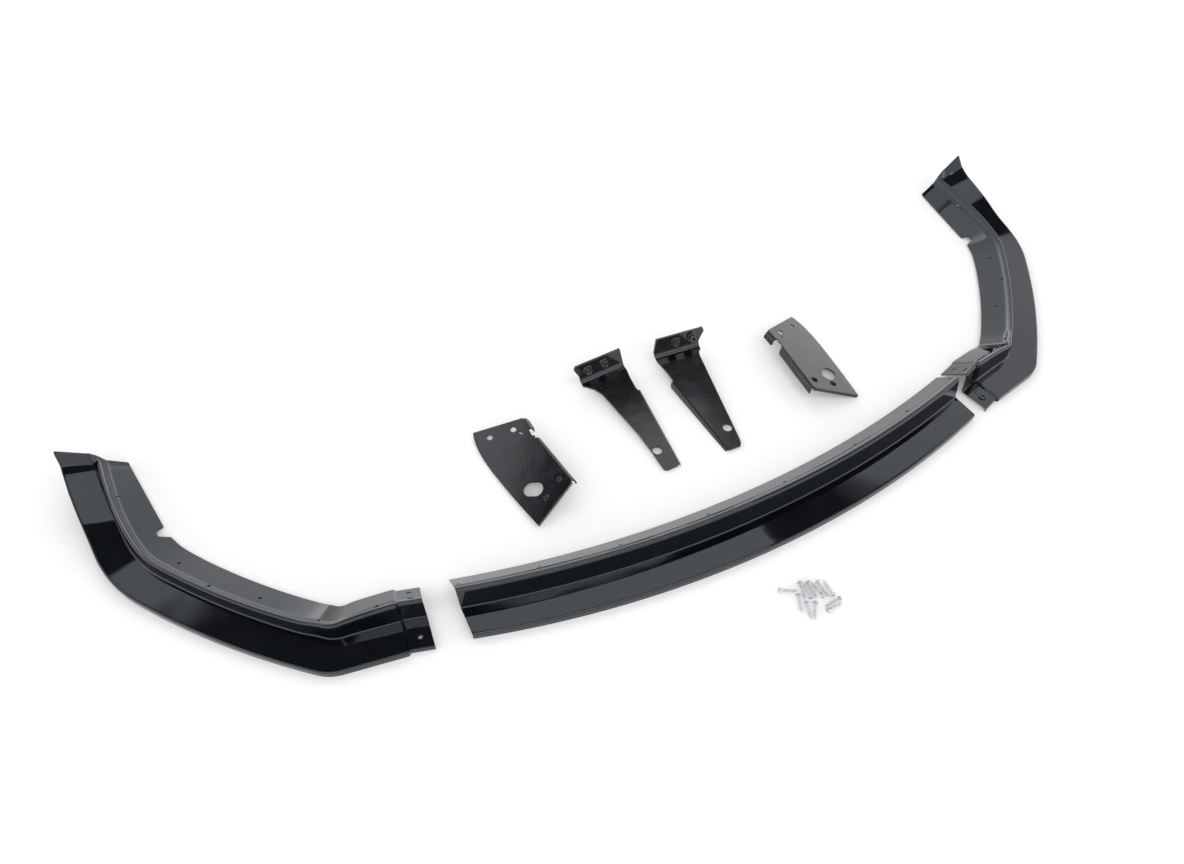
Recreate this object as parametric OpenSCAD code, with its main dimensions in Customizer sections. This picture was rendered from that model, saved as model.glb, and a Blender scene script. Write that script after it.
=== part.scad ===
// Front splitter lip: centre section, two wheel-arch sections, four support brackets and their screws.
// Laid out on the floor as one set. Units are millimetres. X runs across the car, Y towards the rear, Z up.
// Every size that follows from another one is worked out under Hidden.

/* [Lip shell] */
// Wall thickness of the moulded lip
sheet = 3; // [2:0.5:4]
// Depth of the turned-down front edge
lip_h = 13.5; // [10:0.5:18]
// Height of the blade's top face at the crease
crease_z = 11; // [9:0.5:16]
// Height of the wall's top edge where the sections join
wall_top = 48; // [40:1:56]
// Height of the flange's rear edge where the sections join
rear_z = 13; // [8:1:20]
// Diameter of the small flange holes
screw_hole_d = 5.5; // [4:0.5:7]

/* [Centre section] */
// Length across the car
centre_len = 971; // [900:1:1100]
// Radius of the front edge in plan
front_r = 1739; // [1400:1:2400]
// Blade depth in the middle
blade_mid = 57; // [45:1:70]
// Blade depth at the ends
blade_end = 51; // [45:1:60]

/* [Wheel-arch section] */
// Straight run from the joint to the chin corner
run_front = 95; // [60:1:140]
// Radius of the chin corner
chin_r = 74; // [50:1:120]
// Turn at the chin corner in degrees
chin_turn = 31.2; // [20:0.1:45]
// Length of the long sweep behind the chin
run_sweep = 320; // [250:1:380]
// Length of the tighter bend towards the wheel arch
run_bend = 121; // [90:1:160]
// Straight run to the wheel arch
run_rear = 170; // [120:1:220]
// How far the joint tab stands out past the joint
tab_len = 40; // [25:1:60]
// How far the tab is set below the shell
tab_step = 4.5; // [3.5:0.1:6]
// Thickness of the tab
tab_sheet = 2; // [1.5:0.5:3]
// Height of the strip turned up along the wheel-arch end
strip_tall = 20; // [10:1:26]

/* [Outer plate bracket] */
// Plate thickness
plate_t = 3; // [2.5:0.5:5]
// Depth of the folded flange
plate_flange = 14; // [12:1:30]
// Tilt of the plate as it lies
plate_tilt = 18.5; // [10:0.5:25]

/* [Inner arm bracket] */
// Metal thickness
arm_t = 4; // [3:0.5:6]
// Height of the upturned head above the bend
head_h = 39; // [30:1:50]
// Backward lean of the head in degrees
head_lean = 10; // [0:1:20]
// Length of the head along its bend
head_w = 92; // [80:1:110]
// Inside radius of the bend
bend_r = 11; // [6:1:18]
// Diameter of the hole near the arm's end
arm_hole_d = 17; // [12:0.5:22]

/* [Fasteners] */
// Screw length under the head
screw_len = 28; // [20:1:34]
// Screw shank diameter
screw_d = 4.2; // [3:0.1:6]
// Captive nut width across flats
nut_af = 13; // [11:0.5:19]
// Height of the nuts under the plates
nut_h = 13; // [8:1:16]

/* [Hidden] */

eps = 0.01;
place = [22.2, 86.9, 0];          // brings the middle of the whole set onto the origin
black = [0.02, 0.02, 0.023];
zinc = [0.72, 0.73, 0.75];
half = centre_len / 2;
front_y = -350;               // front edge of the centre section on its middle plane

function unit(v) = v / norm(v);
function smooth(t) = let (c = min(1, max(0, t))) c * c * (3 - 2 * c);

// ---------- cross-section shared by the three lip sections ----------
// Points run up the front edge, back along the blade, up the wall, over the crown and down the flange.
// w is measured rearwards from the front edge: [w crease, w wall top, w rear edge, z front edge, edge depth, z crease, z wall top, knee drop, z rear edge, w front edge]
// s sets the whole skin down, as the joint tab needs.
function skin(q, s = 0) = let (wc = q[0], wf = q[1], wr = q[2], zo = q[3], lh = q[4], zc = q[5], zf = q[6], kd = q[7], zr = q[8], wo = q[9],
        f = min(1, max(0.12, (zf - zc) / 12)), r = min(3, lh / 3)) [
    [wo + s, zo], [wo + s, zo + lh - s - r], [wo + s + 0.3 * r, zo + lh - s - 0.3 * r], [wo + s + r, zo + lh - s],
    [wc - 1.6 * f + s, zc - s], [wc + s, zc + 1.6 * f - s],
    [wf - 0.5 + s, zf - 2.4 * f - s], [wf + 1.1 + s, zf + 1.3 * f - 1.1 * s], [wf + 3.9 + 0.8 * s, zf + 2.9 * f - 1.15 * s],
    [wf + 8.4 + 0.55 * s, zf + 2.6 * f - 0.36 * (kd + 2.8 * f) - 0.95 * s], [wf + 13 + 0.2 * s, zf - kd - 1.25 * s], [wr, zr - 1.3 * s]];
function side_normal(a, b) = let (d = unit(b - a)) [d[1], -d[0]];
function inward(p, i, t) = let (n = len(p),
        a = i > 0 ? side_normal(p[i - 1], p[i]) : side_normal(p[0], p[1]),
        b = i < n - 1 ? side_normal(p[i], p[i + 1]) : side_normal(p[n - 2], p[n - 1]))
    p[i] + t * (a + b) / (1 + a * b);
function under(p, t) = [for (i = [len(p) - 1 : -1 : 0]) let (v = inward(p, i, t)) [v[0], max(v[1], 0)]];
function ring(q, s, t) = let (p = skin(q, s)) concat(p, under(p, t));
// a section line starts at o, runs square to heading h and carries the ring; a third value moves a point along the heading
function lay(o, h, r) = [for (v = r) let (k = len(v) > 2 ? v[2] : 0)
    [o[0] + v[0] * sin(h) + k * cos(h), o[1] - v[0] * cos(h) + k * sin(h), v[1]]];

module shell(sections) {
    n = len(sections[0]);
    m = len(sections);
    function quad(a, b, c, d) = [[a, b, c], [a, c, d]];
    polyhedron(
        points = [for (s = sections) for (v = s) v],
        faces = concat(
            [for (j = [0 : n / 2 - 2]) for (f = quad(j, j + 1, n - 2 - j, n - 1 - j)) f],
            [for (j = [0 : n / 2 - 2]) for (f = quad((m - 1) * n + j + 1, (m - 1) * n + j, m * n - 1 - j, m * n - 2 - j)) f],
            [for (i = [0 : m - 2]) for (j = [0 : n - 1]) let (k = (j + 1) % n)
                for (f = quad(i * n + j, (i + 1) * n + j, (i + 1) * n + k, i * n + k)) f]),
        convexity = 8);
}

// ---------- centre section ----------
function front_edge(x) = front_y + front_r - sqrt(front_r * front_r - x * x);
function centre_q(x) = let (u = abs(x) / half, b = blade_mid + (blade_end - blade_mid) * u * u)
    [b, b + 7, b + 52.5, 0, lip_h, crease_z, wall_top + 1, 2, rear_z, 0];
centre_x = [for (i = [-12 : 12]) half * i / 12];
centre_holes = [-477, -356, -226, -73, 73, 226, 356, 477];
function flange_slope(q) = atan2(q[6] - q[7] - q[8], q[2] - q[1] - 13);

module centre_hole_cut(x) {
    q = centre_q(x);
    plan = asin(x / front_r);
    translate([x, front_edge(x) + q[1] + 17, q[6] - q[7] - 4 * tan(flange_slope(q))])
        rotate([0, 0, plan]) rotate([-atan(tan(flange_slope(q)) / cos(plan)), 0, 0]) cylinder(h = 12, d = screw_hole_d, center = true, $fn = 24);
}

module lip_centre() {
    color(black) translate(place) difference() {
        shell([for (x = centre_x) lay([x, front_edge(x)], 180, ring(centre_q(x), 0, sheet))]);
        for (x = centre_holes) centre_hole_cut(x);
    }
}

// ---------- wheel-arch section, drawn for the left side ----------
joint = [-580, -265];
legs = [[run_front, 0], [chin_r * chin_turn * PI / 180, chin_turn], [run_sweep, 13.3], [run_bend, 27.9], [run_rear, 2.6]];
function leg_end(s, h, leg, d) = leg[1] == 0 ? [s[0] + d * cos(h), s[1] + d * sin(h)]
    : let (r = leg[0] / (leg[1] * PI / 180), a = h - leg[1] * d / leg[0])
      [s[0] + r * (sin(h) - sin(a)), s[1] + r * (cos(a) - cos(h))];
function walk(d, i = 0, s = joint, h = 171) = (i == len(legs) - 1 || d <= legs[i][0])
    ? concat(leg_end(s, h, legs[i], d), [h - legs[i][1] * d / legs[i][0]])
    : walk(d - legs[i][0], i + 1, leg_end(s, h, legs[i], legs[i][0]), h - legs[i][1]);
chin_end = legs[0][0] + legs[1][0];
arch_len = chin_end + run_sweep + run_bend + run_rear;
// the section lines fan out over a longer stretch than the chin corner itself
function fan(d) = d < 35 ? 174 - 3 * smooth(d / 35)
    : d < 195 ? 171 - chin_turn * smooth((d - 35) / 160) - 13.3 * max(0, d - chin_end) / run_sweep
    : walk(d)[2];
function side_q(d) = [
    lookup(d, [[0, 54], [90, 54.5], [150, 53], [190, 50.5], [480, 50], [640, 47], [746, 46]]),
    lookup(d, [[0, 59], [90, 58], [150, 56], [190, 53.5], [480, 52.5], [540, 53.5], [640, 49], [700, 49.5], [746, 51.5]]),
    lookup(d, [[0, 110], [90, 110], [190, 105], [400, 106], [500, 107.5], [560, 106], [665, 99], [746, 91.5]]),
    lookup(d, [[0, 0], [380, 0], [490, 2], [540, 4], [575, 7], [600, 11], [651, 24], [691, 32], [723, 39], [746, 51]]),
    lookup(d, [[0, lip_h], [700, lip_h], [746, lip_h + 1.5]]),
    lookup(d, [[0, crease_z], [520, crease_z], [560, 13], [600, 17], [651, 25], [700, 34], [746, 41]]),
    lookup(d, [[0, wall_top], [30, wall_top - 1], [80, wall_top - 5], [140, wall_top - 10], [190, wall_top - 14.5], [250, wall_top - 16], [480, wall_top - 15], [640, wall_top - 11], [705, wall_top - 8.5], [746, wall_top - 5.5]]),
    lookup(d, [[0, 2], [60, 3], [150, 6.5], [440, 8], [660, 12], [746, 15]]),
    lookup(d, [[0, rear_z], [40, rear_z - 2], [80, rear_z - 4], [190, rear_z - 6.5], [440, rear_z - 9], [746, rear_z - 9.5]]),
    lookup(d, [[0, 0], [690, 0], [724, 1.5], [746, 5]])];
side_d = concat([0, 18, 38, 58, 78, 92], [for (i = [1 : 6]) run_front + i * (chin_end - run_front) / 6], [150, 168, 190, 220, 256, 296, 338, 380, 420],
    [for (i = [0 : 7]) chin_end + run_sweep + i * run_bend / 7], [598, 622, 650, 678, 704, 724, arch_len - 3.4]);
function side_section(d) = let (p = walk(d)) lay(p, fan(d), ring(side_q(d), 0, sheet));
// strip turned up along the wheel-arch end, drawn out to a point at the lip's outer corner: [w, height, lean]
function strip_at(w, q) = [
    lookup(w, [[q[9], 0.7 * strip_tall], [q[0], 0.92 * strip_tall], [q[1] + 4, 0.34 * strip_tall], [q[1] + 13, 0.1 * strip_tall], [q[2], 0.13 * strip_tall]]),
    lookup(w, [[q[9] + 3, 0.8 * strip_tall], [q[9] + 14, 0.4 * strip_tall], [q[0], 0.3 * strip_tall], [q[2], 0.15 * strip_tall]])];
function strip_section(d) = let (p = walk(d), q = side_q(d), o = skin(q))
    lay(p, p[2], concat([for (i = [0 : len(o) - 1]) let (v = o[i], k = strip_at(v[0], q)) i == 0 ? v : [v[0], v[1] + k[0], k[1]]], under(o, sheet)));
// tab that slides under the centre section, set down below it
function tab_section(d) = lay([joint[0] + d * cos(-16), joint[1] + d * sin(-16)], 174, ring(side_q(0), tab_step, tab_sheet));
side_holes = [[28, 10], [151, 11], [274, 26], [360, 13], [439, 27], [662, 14]];

module side_hole_cut(d, off) {
    q = side_q(d);
    p = walk(d);
    w = q[1] + off;
    translate([p[0] + w * sin(fan(d)), p[1] - w * cos(fan(d)), q[6] - q[7] - max(off - 13, 0) * tan(flange_slope(q))])
        rotate([0, 0, fan(d) - 180]) rotate([-flange_slope(q), 0, 0]) cylinder(h = 14, d = screw_hole_d, center = true, $fn = 24);
}
module on_tab(d, w) {
    translate([joint[0] + d * cos(-16) + w * sin(174), joint[1] + d * sin(-16) - w * cos(174), 0]) rotate([0, 0, -6]) children();
}

// relief cut in the rear edge of the flange, one flank slanted
module notch_cut() {
    p = walk(556);
    translate([p[0], p[1], -5]) rotate([0, 0, p[2] + 90]) linear_extrude(height = 30)
        polygon([[-116, -21], [-104.7, -14.5], [-95.5, -10], [-93.2, -7.5], [-92, 5], [-108.4, 13.8], [-116, 18]]);
}

// first_hole: how much further along the flange its first hole sits
module side_lip(first_hole = 0) {
    difference() {
        union() {
            shell(concat([for (d = [tab_len, 22, 3.5]) tab_section(d)], [for (d = side_d) side_section(d)], [strip_section(arch_len - 3), strip_section(arch_len)]));
            on_tab(22.6, 24) translate([0, 0, 7.1]) cylinder(h = 2.9, r = 6.4, $fn = 40);
            for (k = [17, 23]) on_tab(k, 41) translate([0, 0, 6.4]) cylinder(h = 1.9, r = 1.6, $fn = 20);
        }
        for (i = [0 : len(side_holes) - 1]) side_hole_cut(side_holes[i][0] + (i == 0 ? first_hole : 0), side_holes[i][1]);
        on_tab(22, 96) translate([0, 0, 20]) rotate([-41, 0, 0]) cylinder(h = 16, d = 8, center = true, $fn = 32);
        on_tab(22.8, 76) translate([0, 0, 38]) rotate([-41, 0, 0]) for (k = [-2, 2]) translate([k, 0, 0]) cylinder(h = 14, d = 5, center = true, $fn = 24);
        on_tab(22.6, 24) cylinder(h = 20, d = 7, $fn = 32);
        notch_cut();
    }
}

module lip_left() {
    color(black) translate(place) side_lip(1.5);
}

module lip_right() {
    color(black) translate(place) translate([-32.5, -26.5, 0]) rotate([0, 0, 2.3]) mirror([1, 0, 0]) side_lip();
}

// Points of an arc from angle a to angle b
function arc(c, r, a, b, n = 8) = [for (i = [0 : n]) let (t = a + (b - a) * i / n) c + r * [cos(t), sin(t)]];
// Sheet edge turned down along X: the outer face lies at y = 0 and the metal at y < 0.
module folded(length, root, depth, t, r) {
    rotate([90, 0, 90]) linear_extrude(height = length) polygon(concat(
        [[-root, 0]], arc([-r, -r], r, 90, 0), [[0, -depth], [-t, -depth]], arc([-r, -r], r - t, 0, 90), [[-root, -t]]));
}

// ---------- outer plate brackets ----------
// Drawn flat with U along the plate's length and V across it; top face at zero.
module slot(u, v, w, l, a) {
    translate([u, v, 0]) rotate([0, 0, a]) {
        for (k = [-1, 1]) translate([k * (l - w) / 2, 0, 0]) cylinder(h = 30, d = w, center = true, $fn = 36);
        cube([l - w, w, 30], center = true);
    }
}
plate_nuts = [[183, 73], [197, 37]];
module plate_flat() {
    difference() {
        union() {
            translate([0, 0, -plate_t]) linear_extrude(height = plate_t) polygon([
                [0, 0], [9, -4], [22, -7.5], [40, -10.5], [62, -12], [90, -12], [125, -10], [165, -7], [200, -3.5], [232, 0],
                [228, 12], [204, 87], [201, 86], [88, 82.5], [84, 85], [80, 81], [68, 83], [66, 80], [44, 84], [38, 87]]);
            // lip turned down along the short end
            translate([0, 0, -2.1 * plate_t]) linear_extrude(height = 2.1 * plate_t) polygon([[229, 0.5], [232, 0], [228, 12], [204, 87], [201, 86], [225, 11]]);
            // flange folded down along the straight side, both ends cut on a slant
            translate([87, 89.5, 0]) rotate([0, 0, 2]) intersection() {
                folded(118, 11, plate_flange, plate_t, 7);
                translate([0, 2, 0]) rotate([90, 0, 0]) linear_extrude(height = 20) polygon([[1, 1], [113, 1], [117, -plate_flange - 1], [7, -plate_flange - 1]]);
            }
            // ribbed lug folded down at the head of the plate
            translate([41, 92.5, 0]) rotate([0, 0, -4]) {
                folded(25, 13, plate_flange + 1.5, plate_t, 7);
                for (k = [3, 11, 19]) translate([k, -1.5, -plate_flange]) cube([2.6, 2.8, plate_flange - 7]);
            }
        }
        slot(30, 19, 9, 12.5, 20);
        slot(46, 61, 9, 12.5, 20);
        slot(170.5, 28, 26, 35, 50);
        for (n = plate_nuts) translate([n[0], n[1], 0]) cylinder(h = 30, r = 6.4, center = true, $fn = 40);
        translate([62, 68, 0]) rotate([0, 0, 25]) cube([9, 2.2, 30], center = true);
    }
}
module plate_nut(i) {
    translate([plate_nuts[i][0], plate_nuts[i][1], -plate_t - nut_h]) difference() {
        cylinder(h = nut_h, d = nut_af / cos(30), $fn = 6);
        translate([0, 0, -1]) cylinder(h = nut_h + 2, d = 6.8, $fn = 32);
    }
}
module plate_left_at() {
    translate(place) translate([-344, 87, 6.9]) multmatrix([
        [sin(6.2), cos(6.2) * cos(plate_tilt), -cos(6.2) * sin(plate_tilt), 0],
        [-cos(6.2), sin(6.2) * cos(plate_tilt), -sin(6.2) * sin(plate_tilt), 0],
        [0, sin(plate_tilt), cos(plate_tilt), 0], [0, 0, 0, 1]]) children();
}
module plate_right_at() {
    translate(place) translate([343, 87, 6.9]) rotate([0, 0, -3.1]) rotate([0, plate_tilt, 0]) rotate([0, 0, -90]) mirror([0, 1, 0]) children();
}
module plate_left() { color(black) plate_left_at() plate_flat(); }
module plate_right() { color(black) plate_right_at() plate_flat(); }
module plate_nut_left_1() { color(black) plate_left_at() plate_nut(0); }
module plate_nut_left_2() { color(black) plate_left_at() plate_nut(1); }
module plate_nut_right_1() { color(black) plate_right_at() plate_nut(0); }
module plate_nut_right_2() { color(black) plate_right_at() plate_nut(1); }

// ---------- inner arm brackets ----------
// Drawn flat with U from the free end to the head and V away from the flanged edge; top face at zero.
left_edge = [[227.5, 98.5], [222, 91], [212, 80], [196, 71], [151, 60], [120, 52.5], [88, 45], [50, 39], [13, 35], [4, 33.5]];
right_edge = [[226.5, 98.5], [221, 90], [211, 86], [13, 36.5], [4, 33]];
left_marks = [[17, 23], [127, 40], [210, 67]];
right_marks = [[17, 24], [128, 49], [191, 13]];
head_at = [251, 8];
head_turn = 8.2;
function head_pt(x, k) = head_at + [x * cos(head_turn) - k * sin(head_turn), x * sin(head_turn) + k * cos(head_turn)];
module at_head() {
    translate([head_at[0], head_at[1], 0]) rotate([0, 0, head_turn]) children();
}
module arm_flat(edge, marks, hole_v, bulge = 0) {
    up = (head_h - bend_r + bend_r * sin(head_lean)) / cos(head_lean);
    turn = [-bend_r, bend_r];
    difference() {
        union() {
            intersection() {
                // sheet, bend and leaning head in one profile
                at_head() translate([0, -20, 0]) rotate([90, 0, 0]) mirror([0, 0, 1]) linear_extrude(height = head_w + 40) polygon(concat(
                    [[-300, -arm_t]], arc(turn, bend_r + arm_t, -90, -head_lean, 10),
                    [turn + (bend_r + arm_t) * [cos(head_lean), -sin(head_lean)] + up * [sin(head_lean), cos(head_lean)],
                     turn + bend_r * [cos(head_lean), -sin(head_lean)] + up * [sin(head_lean), cos(head_lean)]],
                    arc(turn, bend_r, -head_lean, -90, 10), [[-300, 0]]));
                // outline from above
                translate([0, 0, -10]) linear_extrude(height = head_h + 20) polygon(concat(
                    [[4, 5], [180, 5], [187, 7], [212, 7.5], head_pt(-13, -0.5), head_pt(-12, -4), head_pt(40, -4), head_pt(40, head_w + 14), head_pt(-bend_r, head_w + 14)],
                    edge, [[0.5, 30], [0, 26], [2, 8]]));
                // outline from the front, flaring towards the top
                at_head() translate([-300, 0, 0]) rotate([90, 0, 90]) linear_extrude(height = 340) polygon([
                    [0, -6], [head_w, -6], [head_w, 9], [head_w + 3, 17], [head_w + 10, head_h - 8], [head_w + 6, head_h + 2], [5 - bulge, head_h + 2], [1.5 - bulge, 17], [-bulge, 9]]);
            }
            // flange folded down along the straight edge, its lower edge lying on the floor
            mirror([0, 1, 0]) intersection() {
                folded(190, 10, 18, arm_t, 6);
                translate([0, 2, 0]) rotate([90, 0, 0]) linear_extrude(height = 20) polygon([[2, 1], [182, 1], [179, -13.5], [4, -4.4]]);
            }
        }
        translate([44, hole_v, 0]) cylinder(h = 30, d = arm_hole_d, center = true, $fn = 64);
        for (p = marks) translate([p[0], p[1], 0]) cylinder(h = 30, d = 3.4, center = true, $fn = 20);
        for (k = [41, 76]) head_hole(k) cylinder(h = 30, d = 7, center = true, $fn = 32);
    }
}
module head_hole(k) {
    at_head() translate([-bend_r + bend_r * cos(head_lean) + (24 - bend_r + bend_r * sin(head_lean)) * tan(head_lean), k, 24])
        rotate([0, 90 + head_lean, 0]) children();
}
module arm_nut(k) {
    head_hole(k) difference() {
        union() {
            translate([0, 0, -1.6]) cylinder(h = 1.6, r = 9.5, $fn = 40);
            translate([0, 0, -9]) rotate([0, 0, 30]) cylinder(h = 7.4 + eps, d = nut_af / cos(30), $fn = 6);
        }
        translate([0, 0, -10]) cylinder(h = 12, d = 6.8, $fn = 32);
    }
}
arm_pitch = 3.2;
module arm_left_at() {
    translate(place) translate([-43, -139, 4.3]) rotate([0, 0, 85.3]) rotate([0, -arm_pitch, 0]) children();
}
module arm_right_at() {
    translate(place) translate([42, -149, 4.3]) rotate([0, 0, 93.6]) rotate([0, -arm_pitch, 0]) mirror([0, 1, 0]) children();
}
module arm_left() { color(black) arm_left_at() arm_flat(left_edge, left_marks, 28); }
module arm_right() { color(black) arm_right_at() arm_flat(right_edge, right_marks, 32, 2.5); }
module arm_nut_left_1() { color(black) arm_left_at() arm_nut(41); }
module arm_nut_left_2() { color(black) arm_left_at() arm_nut(76); }
module arm_nut_right_1() { color(black) arm_right_at() arm_nut(41); }
module arm_nut_right_2() { color(black) arm_right_at() arm_nut(76); }

// ---------- loose screws ----------
head_r = 4.2;
module screw() {
    difference() {
        union() {
            rotate([0, 90, 0]) cylinder(h = screw_len - 4, d = screw_d, $fn = 24);
            translate([screw_len - 4, 0, 0]) rotate([0, 90, 0]) cylinder(h = 4, d1 = screw_d, d2 = 0.8, $fn = 24);
            translate([-2.6, 0, 0]) rotate([0, 90, 0]) cylinder(h = 2.6 + eps, r1 = 3, r2 = head_r, $fn = 32);
        }
        for (a = [0, 90]) rotate([a, 0, 0]) translate([-3, -0.5, -2.2]) cube([1.8, 1, 4.4]);
    }
}
// lying flat: the screw tips towards its point until head rim and shank touch the floor
lie = asin((head_r - screw_d / 2) / (screw_len - 4));
module lay_screw(x, y, a, up = 0) {
    color(zinc) translate(place) translate([x, y, head_r * cos(lie) + up]) rotate([0, 0, a]) rotate([0, lie, 0]) screw();
}
module screw_1() { lay_screw(5, -420, -107); }
module screw_2() { lay_screw(6, -447, 78); }
module screw_3() { lay_screw(17, -425, -96); }
module screw_4() { lay_screw(24, -453.5, 92); }
module screw_5() { lay_screw(31, -431, -87); }
module screw_6() { lay_screw(39, -458.5, 83); }
module screw_7() { lay_screw(-29.5, -417.5, -25); }
module screw_8() { lay_screw(-10, -437, -114); }
module screw_9() { lay_screw(-6, -453, -108); }
module screw_10() { lay_screw(44, -469, -179); }
module screw_11() { lay_screw(17, -477.5, 1); }
module screw_12() { lay_screw(6, -459, -125); }

lip_centre();
lip_left();
lip_right();
plate_left();
plate_right();
arm_left();
arm_right();
plate_nut_left_1();
plate_nut_left_2();
plate_nut_right_1();
plate_nut_right_2();
arm_nut_left_1();
arm_nut_left_2();
arm_nut_right_1();
arm_nut_right_2();
screw_1();
screw_2();
screw_3();
screw_4();
screw_5();
screw_6();
screw_7();
screw_8();
screw_9();
screw_10();
screw_11();
screw_12();
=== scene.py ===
import math

import bmesh
import bpy
from mathutils import Matrix, Vector


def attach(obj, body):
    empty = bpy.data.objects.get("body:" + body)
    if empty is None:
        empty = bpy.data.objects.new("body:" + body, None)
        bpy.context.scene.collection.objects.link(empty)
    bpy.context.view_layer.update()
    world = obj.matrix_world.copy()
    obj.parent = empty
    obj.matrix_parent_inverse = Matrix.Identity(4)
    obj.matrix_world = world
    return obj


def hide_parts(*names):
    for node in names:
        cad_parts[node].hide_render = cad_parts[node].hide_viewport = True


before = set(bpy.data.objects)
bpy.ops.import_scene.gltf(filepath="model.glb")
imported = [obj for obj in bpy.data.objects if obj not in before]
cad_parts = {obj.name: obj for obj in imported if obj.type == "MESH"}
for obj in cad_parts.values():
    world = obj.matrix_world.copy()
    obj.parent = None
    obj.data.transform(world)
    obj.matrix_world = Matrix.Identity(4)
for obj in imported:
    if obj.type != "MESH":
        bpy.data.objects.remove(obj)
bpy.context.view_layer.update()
MM = 0.001

# ---- Camera ----
# The whole set is seen from the front left, a little over 50 degrees above the floor, with a wide lens.
eye = Vector((-0.54746, -0.76437, 1.15499))
aim = Vector((-0.1275, 0.0869, 0.0))
camera = bpy.data.objects.new("camera", bpy.data.cameras.new("camera"))
camera.data.sensor_width = 36.0
camera.data.lens = 25.24
camera.data.clip_start = 0.01
camera.location = eye
camera.rotation_euler = (aim - eye).to_track_quat("-Z", "Y").to_euler()
bpy.context.scene.collection.objects.link(camera)
bpy.context.scene.camera = camera

# ---- Centre section ----
# The middle of the lip: one black plastic moulding, bowed in plan, with a turned-down front edge, a flat
# blade, a wall and a flange that slopes to the rear. It is polished in the mould and bolts on by the flange.
sheet = 3.0
lip_edge = 13.5
crease_height = 11.0
wall_top = 48.0
flange_edge = 13.0
crown_deep = 13.0
hole_wide = 5.5
set_place = Vector((22.2, 86.9, 0.0))
centre_long = 971.0
centre_bow = 1739.0
centre_front = -350.0
blade_deep = 57.0
blade_deep_end = 51.0
wall_run = 7.0
flange_run = 52.5
centre_hole_at = (-477, -356, -226, -73, 73, 226, 356, 477)
centre_hole_back = 17.0
centre_drill = 12.0


class Wire:
    """A value on its way through a node tree: sums and products of wires become Math nodes."""

    def __init__(self, tree, socket):
        self.tree = tree
        self.socket = socket

    @staticmethod
    def node(tree, kind, settings=None, sockets=None, out=0):
        """Adds a node of that kind, sets it up, feeds its sockets and gives the wire that leaves it."""
        made = tree.nodes.new(kind)
        for key, value in (settings or {}).items():
            if key == "stops":
                ramp = made.color_ramp
                while len(ramp.elements) < len(value):
                    ramp.elements.new(0.5)
                for stop, (at, shade) in zip(ramp.elements, value):
                    stop.position = at
                    stop.color = (*shade, 1.0)
            else:
                setattr(made, key, value)
        for key, value in (sockets or {}).items():
            if isinstance(value, Wire):
                tree.links.new(value.socket, made.inputs[key])
            else:
                made.inputs[key].default_value = value
        return Wire(tree, made.outputs[out])

    def maths(self, operation, first, second=0.0):
        return Wire.node(self.tree, "ShaderNodeMath", {"operation": operation}, {0: first, 1: second})

    def __add__(self, other):
        return self.maths("ADD", self, other)

    def __sub__(self, other):
        return self.maths("SUBTRACT", self, other)

    def __rsub__(self, other):
        return self.maths("SUBTRACT", other, self)

    def __mul__(self, other):
        return self.maths("MULTIPLY", self, other)

    def __truediv__(self, other):
        return self.maths("DIVIDE", self, other)

    def __rtruediv__(self, other):
        return self.maths("DIVIDE", other, self)

    def __pow__(self, other):
        return self.maths("POWER", self, other)

    def __abs__(self):
        return self.maths("ABSOLUTE", self)

    __radd__ = __add__
    __rmul__ = __mul__


def finish(name, colour, metallic=0.0, coat=0.0, coat_roughness=0.03, ior=1.5, tint=(1.0, 1.0, 1.0)):
    """A material with its plain values set on the shader.

    Gives the material, its tree, its shader and the object's own coordinates.
    """
    material = bpy.data.materials.new(name)
    material.use_nodes = True
    tree = material.node_tree
    shader = tree.nodes["Principled BSDF"]
    shader.inputs["Base Color"].default_value = (*colour, 1.0)
    shader.inputs["Metallic"].default_value = metallic
    shader.inputs["Coat Weight"].default_value = coat
    shader.inputs["Coat Roughness"].default_value = coat_roughness
    shader.inputs["IOR"].default_value = ior
    shader.inputs["Specular Tint"].default_value = (*tint, 1.0)
    return material, tree, shader, Wire.node(tree, "ShaderNodeTexCoord", out="Object")


def grain(tree, place, scale, detail=2.0, rough=0.5):
    """Cloudy noise, about 0 to 1, with that many cells to the metre."""
    return Wire.node(tree, "ShaderNodeTexNoise", {"noise_dimensions": "3D"},
                     {"Vector": place, "Scale": scale, "Detail": detail, "Roughness": rough})


def above(mask, level, soft):
    """0 where the mask is under level, 1 where it is over level + soft."""
    return Wire.node(mask.tree, "ShaderNodeMapRange", {"clamp": True},
                     {"Value": mask, "From Min": level, "From Max": level + soft})


def mixed(mask, low, high):
    """The colour low where the mask is 0 and high where it is 1."""
    shades = [(*colour, 1.0) for colour in (low, high)]
    return Wire.node(mask.tree, "ShaderNodeMix", {"data_type": "RGBA"},
                     {0: mask, 6: shades[0], 7: shades[1]}, out=2)


def feed(wire, shader, socket):
    """Leads the wire into that socket of a shader."""
    wire.tree.links.new(wire.socket, shader.inputs[socket])


def bumped(shader, strength, distance, height):
    """Raises the surface by that height on its way to the shader."""
    sockets = {"Strength": strength, "Distance": distance, "Height": height}
    feed(Wire.node(height.tree, "ShaderNodeBump", None, sockets), shader, "Normal")


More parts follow.
